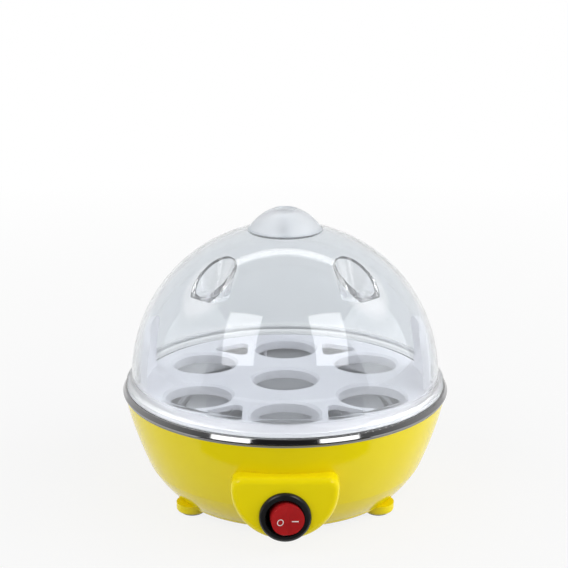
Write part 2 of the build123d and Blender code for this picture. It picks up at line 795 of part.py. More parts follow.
save(turn * rocker, "rocker")


# Wires between the terminals
def wire(points, start, end):
    path = Spline(*points, tangents=[start, end], tangent_scalars=[1.0, 1.0])
    section = Plane(origin=path @ 0, z_dir=path % 0) * Circle(wire_r)
    return sweep(section, path=path)


def between(low, high, share):
    return low + share * (high - low)


pin_ax, pin_ay = element_ends[1]
pin_bx, pin_by = element_ends[0]
tab_wire_z = thermo_tab_low_z + tab_grip
run_z = between(seam_z, pin_low_z, 0.33)
live_route = [
    (-block_way_x, block_front_y, way_mid_z),
    (-0.55 * live_bow, 0.66 * block_front_y, run_z),
    (-live_bow, 0.15 * block_front_y, run_z),
    (-0.9 * live_bow, 0.5 * switch_tab_back_y, run_z),
    (-0.38 * live_bow, 0.82 * switch_tab_back_y, between(run_z, switch_z, 0.6)),
    (-tab_spread, switch_tab_back_y, switch_z),
]
save(wire(live_route, (0, -1, 0), (0, -1, 0)), "wire_live")
switched_route = [
    (tab_spread, switch_tab_back_y, switch_z),
    (tab_spread, between(switch_tab_back_y, tab_front_y, 0.5), between(switch_z, tab_wire_z, 0.5)),
    (tab_spread, tab_front_y, tab_wire_z),
]
save(wire(switched_route, (0, 1, 0), (0, 1, 0)), "wire_switched")
heater_route = [
    (-tab_spread, tab_back_y, tab_wire_z),
    (-0.6 * tab_spread, 0.58 * tab_back_y, between(tab_wire_z, run_z, 0.15)),
    (0.13 * pin_ax, 0.34 * tab_back_y, between(tab_wire_z, run_z, 0.6)),
    (0.45 * pin_ax, 0.42 * pin_ay, run_z),
    (0.75 * pin_ax, 0.66 * pin_ay, run_z),
    (0.93 * pin_ax, 0.9 * pin_ay, between(run_z, pin_low_z, 0.28)),
    (pin_ax, pin_ay, pin_low_z),
]
save(wire(heater_route, (0, 1, 0), (0, 0, 1)), "wire_heater")
fuse_route = [
    (pin_bx, pin_by, pin_low_z),
    (between(pin_bx, fuse_lead_reach, 0.06), pin_by, pin_low_z - 0.6 * fuse_dip),
    (between(pin_bx, fuse_lead_reach, 0.26), pin_by, pin_low_z - 0.85 * fuse_dip),
    (between(pin_bx, fuse_lead_reach, 0.45), between(pin_by, fuse_y, 0.5), pin_low_z - 0.56 * fuse_dip),
    (between(pin_bx, fuse_lead_reach, 0.54), fuse_y, between(pin_low_z, fuse_z, 0.11)),
    (between(pin_bx, fuse_lead_reach, 0.68), fuse_y, between(pin_low_z, fuse_z, 0.72)),
    (fuse_lead_reach, fuse_y, fuse_z),
]
save(wire(fuse_route, (0, 0, -1), (-1, 0, 0)), "wire_fuse")
neutral_route = [
    (-fuse_lead_reach, fuse_y, fuse_z),
    (-0.9 * neutral_bow, between(fuse_y, block_front_y, 0.04), between(way_mid_z, fuse_z, 0.87)),
    (-neutral_bow, between(fuse_y, block_front_y, 0.17), between(way_mid_z, fuse_z, 0.56)),
    (-0.8 * neutral_bow, between(fuse_y, block_front_y, 0.35), between(way_mid_z, fuse_z, 0.23)),
    (-0.26 * neutral_bow, between(fuse_y, block_front_y, 0.52), between(way_mid_z, fuse_z, 0.04)),
    (0.5 * block_way_x, between(fuse_y, block_front_y, 0.71), way_mid_z),
    (block_way_x, block_front_y, way_mid_z),
]
save(wire(neutral_route, (-1, 0, 0), (0, 1, 0)), "wire_neutral")

# Egg tray: deck with a sloping shoulder and outer wall, seats, vents, pegs and handles
tray_in_r = tray_r - tray_wall
tray_line = [
    (0.0, deck_z),
    (deck_r, deck_z, shoulder_round),
    (tray_r, tray_edge_z, tray_edge_round),
    (tray_r, ledge_z),
    (tray_in_r, ledge_z),
    (tray_in_r, tray_edge_z - 0.7 * tray_wall, 0.25 * tray_wall),
    (deck_r - 0.25 * deck_thick, deck_low_z, 0.33 * deck_thick),
    (0.0, deck_low_z),
]
egg_tray = turned(tray_line)
seat_step = 360.0 / seat_count
seats = [(0.0, 0.0)] + [polar(seat_pitch_r, seat_step * (i + 0.5)) for i in range(seat_count)]
collar_low_z = deck_low_z - collar_drop
for x, y in seats:
    egg_tray += disc(seat_hole_r + collar_thick, collar_low_z, deck_low_z + sink, x, y)
for azimuth in peg_azimuths:
    x, y = polar(peg_pitch_r, azimuth)
    egg_tray += disc(peg_r, floor_z, deck_low_z + sink, x, y)
for x, y in seats:
    egg_tray -= disc(seat_hole_r, collar_low_z - past, deck_z + past, x, y)
    bevel = Cone(seat_hole_r, seat_hole_r + seat_bevel + sink, seat_bevel + sink)
    egg_tray -= Pos(x, y, deck_z - (seat_bevel - sink) / 2) * bevel
vent_line = Polyline((vent_in_r, 0.0), (vent_out_r, -vent_half), (vent_out_r, vent_half), close=True)
vent_face = make_face(vent_line)
vent_face = fillet(vent_face.vertices(), vent_round)
vent_cut = Pos(0, 0, deck_low_z - past) * extrude(vent_face, amount=deck_thick + 2 * past)
for azimuth in vent_azimuths:
    egg_tray -= at_azimuth(vent_cut, azimuth)

# Handles: leaning curved plates with rounded upper corners, and a slot outside each
def lid_in_r(z):
    """Inside radius of the dome at height z."""
    return math.sqrt(dome_in_r ** 2 - (z - lid_z - dome_rise) ** 2)


handle_low_z = deck_low_z + sink
handle_mid_z = deck_z + handle_mid_height
handle_top_z = deck_z + handle_height
handle_foot_r = lid_in_r(deck_z) - handle_foot_gap
handle_mid_r = lid_in_r(handle_mid_z) - handle_mid_gap
handle_top_r = lid_in_r(handle_top_z) - handle_top_gap
slot_out_r = handle_foot_r + handle_slot
lean_edges = [
    ThreePointArc(
        (handle_foot_r, handle_low_z),
        (handle_mid_r, handle_mid_z),
        (handle_top_r, handle_top_z),
    ),
    Line((handle_top_r, handle_top_z), (handle_top_r - handle_thick, handle_top_z)),
    ThreePointArc(
        (handle_top_r - handle_thick, handle_top_z),
        (handle_mid_r - handle_thick, handle_mid_z),
        (handle_foot_r - handle_thick, handle_low_z),
    ),
    Line((handle_foot_r - handle_thick, handle_low_z), (handle_foot_r, handle_low_z)),
]
lean = revolve(xz_face(lean_edges), Axis.Z)
handle_half = handle_foot_r * math.sin(math.radians(handle_half_deg))
mask_line = [
    (-handle_half, deck_low_z),
    (handle_half, deck_low_z),
    (handle_half, handle_top_z),
    (-handle_half, handle_top_z),
]
mask_face = make_face(Plane.YZ * Polyline(*mask_line, close=True))
top_corners = mask_face.vertices().group_by(Axis.Z)[-1]
mask_face = fillet(top_corners, handle_round)
mask = extrude(mask_face, amount=tray_r)
handle = lean & mask
slot_line = [
    (handle_foot_r, deck_low_z - 2 * past),
    (slot_out_r, deck_low_z - 2 * past),
    (slot_out_r, deck_z + past),
    (handle_foot_r, deck_z + past),
]
slot_face = make_face(Plane.XZ * Polyline(*slot_line, close=True))
slot_cut = at_azimuth(revolve(slot_face, Axis.Z, 2 * slot_half_deg), -slot_half_deg)
for azimuth in (0.0, 180.0):
    egg_tray -= at_azimuth(slot_cut, azimuth)
for azimuth in (0.0, 180.0):
    egg_tray += at_azimuth(handle, azimuth)
save(egg_tray, "egg_tray")

# Lid: flange, skirt and dome, with two tapered vent pockets
dome_z = lid_z + dome_rise
land_z = lid_z + land_height
inner_land_z = lid_z + inner_land
flange_top_z = lid_z + flange_height
skirt_z = lid_z + skirt_height


def dome_at(radius, z):
    """Radius at height z of a sphere about the dome centre."""
    return math.sqrt(radius ** 2 - (z - dome_z) ** 2)


def dome_height(radius, out):
    """Height above the flange seat of a sphere about the dome centre, at distance out from the axis."""
    return dome_rise + math.sqrt(radius ** 2 - out ** 2)


skirt_r = dome_at(dome_r, skirt_z)
land_r = dome_at(dome_r, land_z)
inner_skirt_r = dome_at(dome_in_r, skirt_z)
inner_land_r = dome_at(dome_in_r, inner_land_z)
diagonal = math.sqrt(0.5)
outer_mid = (dome_r * diagonal, dome_z + dome_r * diagonal)
inner_mid = (dome_in_r * diagonal, dome_z + dome_in_r * diagonal)
lid_edges = [
    Line((0.0, lid_z), (flange_r, lid_z)),
    Line((flange_r, lid_z), (flange_r, flange_top_z)),
    ThreePointArc(
        (flange_r, flange_top_z),
        (skirt_r + skirt_flare, flange_top_z + skirt_flare_rise),
        (skirt_r, skirt_z),
    ),
    ThreePointArc((skirt_r, skirt_z), outer_mid, (land_r, land_z)),
    Line((land_r, land_z), (0.0, land_z)),
    Line((0.0, land_z), (0.0, lid_z)),
]
lid_solid = revolve(xz_face(lid_edges), Axis.Z)
hollow_edges = [
    Line((0.0, lid_z), (flange_in_r, lid_z)),
    Line((flange_in_r, lid_z), (flange_in_r, flange_top_z)),
    Line((flange_in_r, flange_top_z), (inner_skirt_r, skirt_z)),
    ThreePointArc((inner_skirt_r, skirt_z), inner_mid, (inner_land_r, inner_land_z)),
    Line((inner_land_r, inner_land_z), (0.0, inner_land_z)),
    Line((0.0, inner_land_z), (0.0, lid_z)),
]
lid_hollow = revolve(xz_face(hollow_edges), Axis.Z)


pocket_floor_z = lid_z + dome_height(dome_r, pocket_floor_r + pocket_floor_radius) - pocket_lip
pocket_top_z = lid_z + dome_height(dome_r, pocket_top_r - pocket_top_radius) + pocket_over


def pocket(grow):
    low = Pos(pocket_floor_r, 0, pocket_floor_z - grow) * Circle(pocket_floor_radius + grow)
    high = Pos(pocket_top_r, 0, pocket_top_z) * Circle(pocket_top_radius + grow)
    return loft([low, high])


lid_dome = lid_solid
for azimuth in pocket_azimuths:
    lid_dome -= at_azimuth(pocket(0.0), azimuth)
    lid_hollow -= at_azimuth(pocket(pocket_wall), azimuth)
lid_dome -= lid_hollow
for azimuth in pocket_azimuths:
    x, y = polar(pocket_floor_r, azimuth)
    lid_dome -= disc(steam_hole_r, pocket_floor_z - pocket_wall - past, pocket_floor_z + past, x, y)
lid_dome -= disc(knob_screw_r + seat_gap, inner_land_z - past, land_z + past)
save(lid_dome, "lid_dome")

# Knob: hollow cap on the flat land, pulled down by a screw from inside the lid
knob_z = land_z
knob_r = land_r - knob_inset
knob_mid_r = knob_r - knob_waist
knob_mid_z = knob_z + knob_mid_rise
knob_top_z = knob_z + knob_rise
dimple_r = knob_crown_r - knob_wall
dimple_z = knob_top_z - knob_dimple
knob_edges = [
    Line((0.0, knob_z), (knob_r, knob_z)),
    ThreePointArc((knob_r, knob_z), (knob_mid_r, knob_mid_z), (knob_crown_r, knob_top_z)),
    Line((knob_crown_r, knob_top_z), (dimple_r, dimple_z)),
    Line((dimple_r, dimple_z), (0.0, dimple_z)),
    Line((0.0, dimple_z), (0.0, knob_z)),
]
lid_knob = revolve(xz_face(knob_edges), Axis.Z)
hollow_top_z = dimple_z - knob_wall
hollow_mid = (knob_mid_r - 0.78 * knob_wall, knob_mid_z - 0.83 * knob_wall)
knob_hollow_edges = [
    Line((knob_post_r, knob_z), (knob_r - knob_wall, knob_z)),
    ThreePointArc((knob_r - knob_wall, knob_z), hollow_mid, (knob_crown_r, hollow_top_z)),
    Line((knob_crown_r, hollow_top_z), (knob_post_r, hollow_top_z)),
    Line((knob_post_r, hollow_top_z), (knob_post_r, knob_z)),
]
lid_knob -= revolve(xz_face(knob_hollow_edges), Axis.Z)
screw_tip_z = knob_z + knob_screw_rise
lid_knob -= disc(knob_screw_r + run_gap, knob_z - past, screw_tip_z + knob_screw_end_gap)
save(lid_knob, "lid_knob")
knob_screw = disc(knob_head_r, inner_land_z - knob_head_thick, inner_land_z)
knob_screw += disc(knob_screw_r, inner_land_z, screw_tip_z)
save(knob_screw, "knob_screw")
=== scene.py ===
import bpy
import math
from mathutils import Matrix, Vector


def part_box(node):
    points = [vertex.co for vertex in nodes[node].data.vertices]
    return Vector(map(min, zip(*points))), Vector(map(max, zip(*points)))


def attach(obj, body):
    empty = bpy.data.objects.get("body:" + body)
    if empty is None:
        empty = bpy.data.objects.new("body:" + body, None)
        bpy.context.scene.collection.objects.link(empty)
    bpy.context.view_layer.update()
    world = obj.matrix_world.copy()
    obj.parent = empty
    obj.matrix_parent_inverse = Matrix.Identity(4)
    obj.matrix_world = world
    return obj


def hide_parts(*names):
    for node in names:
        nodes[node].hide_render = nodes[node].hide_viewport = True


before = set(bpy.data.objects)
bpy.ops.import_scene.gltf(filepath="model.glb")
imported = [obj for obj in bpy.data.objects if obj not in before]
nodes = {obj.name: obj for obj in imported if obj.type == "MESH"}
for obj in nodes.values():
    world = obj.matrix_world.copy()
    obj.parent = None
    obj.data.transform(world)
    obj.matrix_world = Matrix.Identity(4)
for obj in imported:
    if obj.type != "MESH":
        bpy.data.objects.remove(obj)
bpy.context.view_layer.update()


# small helpers for modelling and for node trees
def deselectAll():
    if bpy.context.object and bpy.context.object.mode != "OBJECT":
        bpy.ops.object.mode_set(mode="OBJECT")
    bpy.ops.object.select_all(action="DESELECT")


def makeActive(piece):
    deselectAll()
    piece.select_set(True)
    bpy.context.view_layer.objects.active = piece


def settle(piece):  # place, turn and scale go into the mesh
    makeActive(piece)
    bpy.ops.object.transform_apply(location=True, rotation=True, scale=True)


def smoothBelow(angle):  # for the active piece
    bpy.ops.object.shade_smooth_by_angle(angle=math.radians(angle))


def opaque(colour):
    return colour + (1.0,)


def newMaterial(name):
    mat = bpy.data.materials.new(name)
    mat.use_nodes = True
    tree = mat.node_tree
    return mat, tree, tree.nodes["Principled BSDF"], tree.nodes["Material Output"]


def addNode(tree, kind, **values):
    node = tree.nodes.new(kind)
    for key, value in values.items():
        setattr(node, key, value)
    return node


def feed(tree, value, socket):  # another node's socket is linked, a plain value is set
    if isinstance(value, bpy.types.NodeSocket):
        tree.links.new(value, socket)
    else:
        socket.default_value = value


def mathNode(tree, operation, *values):
    node = addNode(tree, "ShaderNodeMath", operation=operation)
    for value, socket in zip(values, node.inputs):
        feed(tree, value, socket)
    return node.outputs[0]


def rangeNode(tree, value, fromLow, fromHigh, toLow, toHigh):
    node = addNode(tree, "ShaderNodeMapRange")
    tree.links.new(value, node.inputs["Value"])
    node.inputs["From Min"].default_value = fromLow
    node.inputs["From Max"].default_value = fromHigh
    node.inputs["To Min"].default_value = toLow
    node.inputs["To Max"].default_value = toHigh
    return node.outputs["Result"]


mixSockets = {"FLOAT": ((0, 2, 3), 0), "RGBA": ((0, 6, 7), 2)}  # factor, first and second, then the result


def mixNode(tree, kind, factor, first, second):
    node = addNode(tree, "ShaderNodeMix", data_type=kind)
    places, result = mixSockets[kind]
    for value, place in zip((factor, first, second), places):
        feed(tree, value, node.inputs[place])
    return node.outputs[result]


def source(shader, label):  # what feeds a socket now
    return shader.inputs[label].links[0].from_socket


def newGroup(name, inputs, outputs):
    group = bpy.data.node_groups.new(name, "ShaderNodeTree")
    for label, value in inputs.items():
        socket = group.interface.new_socket(name=label, in_out="INPUT", socket_type="NodeSocketFloat")
        socket.default_value = value
    for label in outputs:
        group.interface.new_socket(name=label, in_out="OUTPUT", socket_type="NodeSocketFloat")
    return group, group.nodes.new("NodeGroupInput"), group.nodes.new("NodeGroupOutput")


def placeGroup(tree, group, values):
    node = tree.nodes.new("ShaderNodeGroup")
    node.node_tree = group
    for key, value in values.items():
        node.inputs[key].default_value = value
    return node


# shared effect: fine skin of a moulded part, faint handling smudges and the slow waviness of cooled plastic
skinLook = {
    "skinDetail": 2.0, "smudgeDetail": 5.0, "smudgeRough": 0.62, "smudgeTwist": 0.6, "smudgeFrom": (0.35, 0.7),
    "flowDetail": 1.0, "flowShare": 0.45, "skinDepth": 0.00002, "flowDepth": 0.0006,
}


def buildMouldSkin():
    group, given, result = newGroup(
        "mouldSkin", {"Skin Scale": 900.0, "Smudge Scale": 40.0}, ("Skin", "Smudge", "Flow"))
    place = addNode(group, "ShaderNodeTexCoord").outputs["Object"]
    skin = addNode(group, "ShaderNodeTexNoise")
    skin.inputs["Detail"].default_value = skinLook["skinDetail"]
    smudge = addNode(group, "ShaderNodeTexNoise")
    smudge.inputs["Detail"].default_value = skinLook["smudgeDetail"]
    smudge.inputs["Roughness"].default_value = skinLook["smudgeRough"]
    smudge.inputs["Distortion"].default_value = skinLook["smudgeTwist"]
    flow = addNode(group, "ShaderNodeTexNoise")
    flow.inputs["Detail"].default_value = skinLook["flowDetail"]
    for texture in (skin, smudge, flow):
        group.links.new(place, texture.inputs["Vector"])
    group.links.new(given.outputs["Skin Scale"], skin.inputs["Scale"])
    group.links.new(given.outputs["Smudge Scale"], smudge.inputs["Scale"])
    flowScale = mathNode(group, "MULTIPLY", given.outputs["Smudge Scale"], skinLook["flowShare"])
    group.links.new(flowScale, flow.inputs["Scale"])
    group.links.new(skin.outputs["Fac"], result.inputs["Skin"])
    spots = rangeNode(group, smudge.outputs["Fac"], *skinLook["smudgeFrom"], 0.0, 1.0)
    group.links.new(spots, result.inputs["Smudge"])
    group.links.new(flow.outputs["Fac"], result.inputs["Flow"])
    return group


# shared effect: rings left by spinning, closer than the eye can count
latheLook = {
    "ringDetail": 3.0, "stainScale": 38.0, "stainDetail": 6.0, "stainFrom": (0.35, 0.7),
    "breakFrom": (0.3, 0.7), "breakShare": 0.3, "glossFrom": (0.25, 0.75), "lineDepth": 0.00004,
}


def buildLatheLines():
    group, given, result = newGroup(
        "latheLines", {"Rings Per Metre": 2600.0, "Break Up": 0.35}, ("Rings", "Stain", "Radius"))
    place = addNode(group, "ShaderNodeTexCoord").outputs["Object"]
    parts = addNode(group, "ShaderNodeSeparateXYZ")
    group.links.new(place, parts.inputs[0])
    across = mathNode(group, "POWER", parts.outputs["X"], 2.0)
    deep = mathNode(group, "POWER", parts.outputs["Y"], 2.0)
    radius = mathNode(group, "SQRT", mathNode(group, "ADD", across, deep))
    perMetre = given.outputs["Rings Per Metre"]
    along = addNode(group, "ShaderNodeCombineXYZ")  # radius and height only, so the noise closes on itself
    group.links.new(mathNode(group, "MULTIPLY", radius, perMetre), along.inputs["X"])
    group.links.new(mathNode(group, "MULTIPLY", parts.outputs["Z"], perMetre), along.inputs["Y"])
    rings = addNode(group, "ShaderNodeTexNoise")
    rings.inputs["Scale"].default_value = 1.0
    rings.inputs["Detail"].default_value = latheLook["ringDetail"]
    group.links.new(along.outputs[0], rings.inputs["Vector"])
    stain = addNode(group, "ShaderNodeTexNoise")
    stain.inputs["Scale"].default_value = latheLook["stainScale"]
    stain.inputs["Detail"].default_value = latheLook["stainDetail"]
    group.links.new(place, stain.inputs["Vector"])
    swing = rangeNode(group, stain.outputs["Fac"], *latheLook["breakFrom"], -1.0, 1.0)
    broken = mathNode(group, "MULTIPLY", swing, given.outputs["Break Up"])
    uneven = mathNode(group, "MULTIPLY", broken, latheLook["breakShare"])
    group.links.new(mathNode(group, "ADD", rings.outputs["Fac"], uneven), result.inputs["Rings"])
    spots = rangeNode(group, stain.outputs["Fac"], *latheLook["stainFrom"], 0.0, 1.0)
    group.links.new(spots, result.inputs["Stain"])
    group.links.new(radius, result.inputs["Radius"])
    return group


mouldSkin = buildMouldSkin()
latheLines = buildLatheLines()
print("shared effects: mould skin, lathe lines")

# one maker for plastics: colour drifts a little, smudges change the gloss, skin and flow make the relief
plasticSockets = {  # setting, socket and the value where a look doesn't give one
    "ior": ("IOR", 1.49), "specular": ("Specular IOR Level", 0.5),
    "coat": ("Coat Weight", 0.0), "coatRough": ("Coat Roughness", 0.05),
    "glow": ("Subsurface Weight", 0.0), "glowReach": ("Subsurface Radius", (0.002, 0.002, 0.002)),
    "glowScale": ("Subsurface Scale", 1.0), "sheen": ("Sheen Weight", 0.0),
}


def mouldedPlastic(name, look):
    mat, tree, shader, output = newMaterial(name)
    skin = placeGroup(tree, mouldSkin, {"Skin Scale": look["skinScale"], "Smudge Scale": look["smudgeScale"]})
    colour = mixNode(tree, "RGBA", skin.outputs["Smudge"], opaque(look["colour"]), opaque(look["drift"]))
    tree.links.new(colour, shader.inputs["Base Color"])
    tree.links.new(rangeNode(tree, skin.outputs["Smudge"], 0.0, 1.0, *look["gloss"]), shader.inputs["Roughness"])
    fine = addNode(tree, "ShaderNodeBump")
    fine.inputs["Strength"].default_value = look["relief"]
    fine.inputs["Distance"].default_value = skinLook["skinDepth"]
    tree.links.new(skin.outputs["Skin"], fine.inputs["Height"])
    slow = addNode(tree, "ShaderNodeBump")
    slow.inputs["Strength"].default_value = look["wave"]
    slow.inputs["Distance"].default_value = skinLook["flowDepth"]
    tree.links.new(skin.outputs["Flow"], slow.inputs["Height"])
    tree.links.new(fine.outputs["Normal"], slow.inputs["Normal"])
    tree.links.new(slow.outputs["Normal"], shader.inputs["Normal"])
    for key, (label, plain) in plasticSockets.items():
        shader.inputs[label].default_value = look.get(key, plain)
    return mat, tree, shader, output


# one maker for metals: lathe lines in the gloss and relief, stains in the colour
def plainMetal(name, look):
    mat, tree, shader, output = newMaterial(name)
    lines = placeGroup(tree, latheLines, {"Rings Per Metre": look["rings"], "Break Up": look["breakUp"]})
    colour = mixNode(tree, "RGBA", lines.outputs["Stain"], opaque(look["colour"]), opaque(look["stain"]))
    tree.links.new(colour, shader.inputs["Base Color"])
    rough = rangeNode(tree, lines.outputs["Rings"], *latheLook["glossFrom"], *look["gloss"])
    tree.links.new(rough, shader.inputs["Roughness"])
    relief = addNode(tree, "ShaderNodeBump")
    relief.inputs["Strength"].default_value = look["relief"]
    relief.inputs["Distance"].default_value = latheLook["lineDepth"]
    tree.links.new(lines.outputs["Rings"], relief.inputs["Height"])
    tree.links.new(relief.outputs["Normal"], shader.inputs["Normal"])
    shader.inputs["Metallic"].default_value = 1.0
    return mat, tree, shader, lines


def paint(mat, *names):
    for name in names:
        nodes[name].data.materials.clear()
        nodes[name].data.materials.append(mat)


# base shell and bottom cover, glossy yellow
yellowLook = {
    "colour": (0.885, 0.735, 0.004), "drift": (0.865, 0.71, 0.003), "gloss": (0.11, 0.17),
    "skinScale": 1500.0, "smudgeScale": 26.0, "relief": 0.06, "wave": 0.05,
    "specular": 0.27, "glow": 0.05, "glowReach": (0.003, 0.002, 0.0005),
}
paint(mouldedPlastic("yellowPlastic", yellowLook)[0], "base_shell", "bottom_cover")

# egg tray, satin white
trayLook = {
    "colour": (0.765, 0.755, 0.785), "drift": (0.735, 0.72, 0.76), "gloss": (0.32, 0.42),
    "skinScale": 1800.0, "smudgeScale": 30.0, "relief": 0.18, "wave": 0.05,
    "specular": 0.45, "glow": 0.12, "glowReach": (0.003, 0.003, 0.003),
}
paint(mouldedPlastic("trayPlastic", trayLook)[0], "egg_tray")

# switch housing, gland and gland nut, glossy black
blackLook = {
    "colour": (0.012, 0.012, 0.013), "drift": (0.018, 0.018, 0.019), "gloss": (0.14, 0.26),
    "skinScale": 2200.0, "smudgeScale": 90.0, "relief": 0.15, "wave": 0.04, "specular": 0.38,
}
paint(mouldedPlastic("blackPlastic", blackLook)[0], "switch_housing", "cord_gland", "gland_nut")

# rocker, glossy red that lets a little light in
rockerLook = {
    "colour": (0.46, 0.016, 0.018), "drift": (0.39, 0.013, 0.015), "gloss": (0.08, 0.16),
    "skinScale": 2600.0, "smudgeScale": 160.0, "relief": 0.08, "wave": 0.04,
    "coat": 0.4, "coatRough": 0.04, "glow": 0.2, "glowReach": (0.003, 0.0006, 0.0006),
}
paint(mouldedPlastic("rockerPlastic", rockerLook)[0], "rocker")

# seal, feet and small inner plastics, each with the nodes that wear it
innerLooks = {
    "sealSilicone": ({"colour": (0.30, 0.30, 0.31), "drift": (0.26, 0.26, 0.27), "gloss": (0.55, 0.7),
                      "skinScale": 1600.0, "smudgeScale": 80.0, "relief": 0.3, "wave": 0.05}, ("pan_seal",)),
    "footRubber": ({"colour": (0.035, 0.035, 0.036), "drift": (0.055, 0.054, 0.052), "gloss": (0.6, 0.8),
                    "skinScale": 1400.0, "smudgeScale": 140.0, "relief": 0.5, "wave": 0.05}, ("rubber_feet",)),
    "phenolic": ({"colour": (0.06, 0.045, 0.04), "drift": (0.08, 0.06, 0.05), "gloss": (0.45, 0.6),
                  "skinScale": 1500.0, "smudgeScale": 120.0, "relief": 0.4, "wave": 0.05}, ("thermostat_body",)),
    "nylon": ({"colour": (0.80, 0.79, 0.74), "drift": (0.74, 0.72, 0.66), "gloss": (0.4, 0.55),
               "skinScale": 1500.0, "smudgeScale": 110.0, "relief": 0.3, "wave": 0.05, "glow": 0.1},
              ("fuse_clip", "terminal_block")),
    "fuseCase": ({"colour": (0.70, 0.68, 0.62), "drift": (0.60, 0.57, 0.50), "gloss": (0.4, 0.6),
                  "skinScale": 1800.0, "smudgeScale": 200.0, "relief": 0.3, "wave": 0.05}, ("thermal_fuse",)),
    "brownSleeve": ({"colour": (0.20, 0.075, 0.03), "drift": (0.16, 0.06, 0.025), "gloss": (0.4, 0.55),
                     "skinScale": 2000.0, "smudgeScale": 180.0, "relief": 0.3, "wave": 0.05},
                    ("wire_live", "wire_switched")),
    "whiteSleeve": ({"colour": (0.78, 0.77, 0.73), "drift": (0.68, 0.66, 0.60), "gloss": (0.6, 0.8),
                     "skinScale": 2600.0, "smudgeScale": 200.0, "relief": 0.6, "wave": 0.05},
                    ("wire_heater", "wire_fuse")),
    "blueSleeve": ({"colour": (0.03, 0.10, 0.40), "drift": (0.025, 0.08, 0.32), "gloss": (0.4, 0.55),
                    "skinScale": 2000.0, "smudgeScale": 180.0, "relief": 0.3, "wave": 0.05}, ("wire_neutral",)),
}
for label, (look, wearers) in innerLooks.items():
    paint(mouldedPlastic(label, look)[0], *wearers)
print("plastics painted")

# water pan: spun steel with a turned grain and a polished bead, whose colour is darkened there as painted shade
# standing in for the dark surroundings it mirrors
panLook = {
    "colour": (0.46, 0.46, 0.47), "stain": (0.43, 0.43, 0.44), "gloss": (0.26, 0.38), "rings": 2600.0,
    "breakUp": 0.2, "relief": 0.12, "anisotropic": 0.8, "grainTurn": 0.25,
    "beadFrom": (0.0722, 0.0742), "beadShadeColour": (0.33, 0.33, 0.335), "beadGloss": 0.3,
}
spunSteel, panTree, panShader, panLines = plainMetal("spunSteel", panLook)
panRadius = panLines.outputs["Radius"]
polish = rangeNode(panTree, panRadius, *panLook["beadFrom"], 1.0, panLook["beadGloss"])
polished = mathNode(panTree, "MULTIPLY", source(panShader, "Roughness"), polish)
panTree.links.new(polished, panShader.inputs["Roughness"])
# painted shade: the bead's base colour turns darker, standing in for dark reflections
beadShadeMask = rangeNode(panTree, panRadius, *panLook["beadFrom"], 0.0, 1.0)
beadShaded = mixNode(panTree, "RGBA", beadShadeMask, source(panShader, "Base Color"), opaque(panLook["beadShadeColour"]))
panTree.links.new(beadShaded, panShader.inputs["Base Color"])
panShader.inputs["Anisotropic"].default_value = panLook["anisotropic"]
panShader.inputs["Anisotropic Rotation"].default_value = panLook["grainTurn"]
grainWay = addNode(panTree, "ShaderNodeTangent", direction_type="RADIAL", axis="Z")
panTree.links.new(grainWay.outputs["Tangent"], panShader.inputs["Tangent"])
paint(spunSteel, "water_pan")

# other metals, each with the nodes that wear it
metalLooks = {
    "zincSteel": ({"colour": (0.60, 0.61, 0.63), "stain": (0.52, 0.52, 0.50), "gloss": (0.25, 0.4), "rings": 5200.0,
                   "breakUp": 0.6, "relief": 0.15},
                  ("cover_screws", "pan_brackets", "pan_screws", "clamp_plate", "clamp_stud", "clamp_washer",
                   "clamp_nut", "block_screw", "knob_screw")),
    "heaterSheath": ({"colour": (0.30, 0.28, 0.27), "stain": (0.22, 0.17, 0.14), "gloss": (0.4, 0.6), "rings": 900.0,
                      "breakUp": 1.0, "relief": 0.3}, ("heating_element",)),
    "castAluminium": ({"colour": (0.72, 0.73, 0.74), "stain": (0.62, 0.63, 0.64), "gloss": (0.35, 0.5),
                       "rings": 1800.0, "breakUp": 1.0, "relief": 0.25}, ("heat_spreader", "thermostat_cap")),
    "brass": ({"colour": (0.72, 0.53, 0.22), "stain": (0.58, 0.40, 0.16), "gloss": (0.2, 0.35), "rings": 4200.0,
               "breakUp": 0.8, "relief": 0.15},
              ("element_pins", "thermostat_tabs", "block_clamps", "switch_tabs")),
}
for label, (look, wearers) in metalLooks.items():
    paint(plainMetal(label, look)[0], *wearers)
print("metals painted")


# clear lid and frosted knob: plain transmission, with haze and skin as on the other plastics
def clearPlastic(name, look):
    mat, tree, shader, output = mouldedPlastic(name, look)
    shader.inputs["Transmission Weight"].default_value = look["transmission"]
    veil = addNode(tree, "ShaderNodeBsdfTransparent")  # lets the lamps reach what stands inside
    veil.inputs["Color"].default_value = opaque(look["shadeColour"])
    rays = addNode(tree, "ShaderNodeLightPath")
    blend = addNode(tree, "ShaderNodeMixShader")
    tree.links.new(rays.outputs["Is Shadow Ray"], blend.inputs[0])
    tree.links.new(shader.outputs[0], blend.inputs[1])
    tree.links.new(veil.outputs[0], blend.inputs[2])
    tree.links.new(blend.outputs[0], output.inputs["Surface"])
    return mat, tree, shader


def thickSpots(tree, look):  # flange and pockets: masks for the frost and for the paler tint painted there
    parts = addNode(tree, "ShaderNodeSeparateXYZ")
    tree.links.new(addNode(tree, "ShaderNodeTexCoord").outputs["Object"], parts.inputs[0])
    low = rangeNode(tree, parts.outputs["Z"], *look["flangeTop"], 1.0, 0.0)
    flat = addNode(tree, "ShaderNodeCombineXYZ")  # both sides at once, seen from above
    tree.links.new(mathNode(tree, "ABSOLUTE", parts.outputs["X"]), flat.inputs["X"])
    tree.links.new(parts.outputs["Y"], flat.inputs["Y"])
    apart = addNode(tree, "ShaderNodeVectorMath", operation="DISTANCE")
    tree.links.new(flat.outputs[0], apart.inputs[0])
    apart.inputs[1].default_value = look["pocketSpot"]
    near = rangeNode(tree, apart.outputs["Value"], *look["pocketReach"], 1.0, 0.0)
    return low, mathNode(tree, "MAXIMUM", low, near)


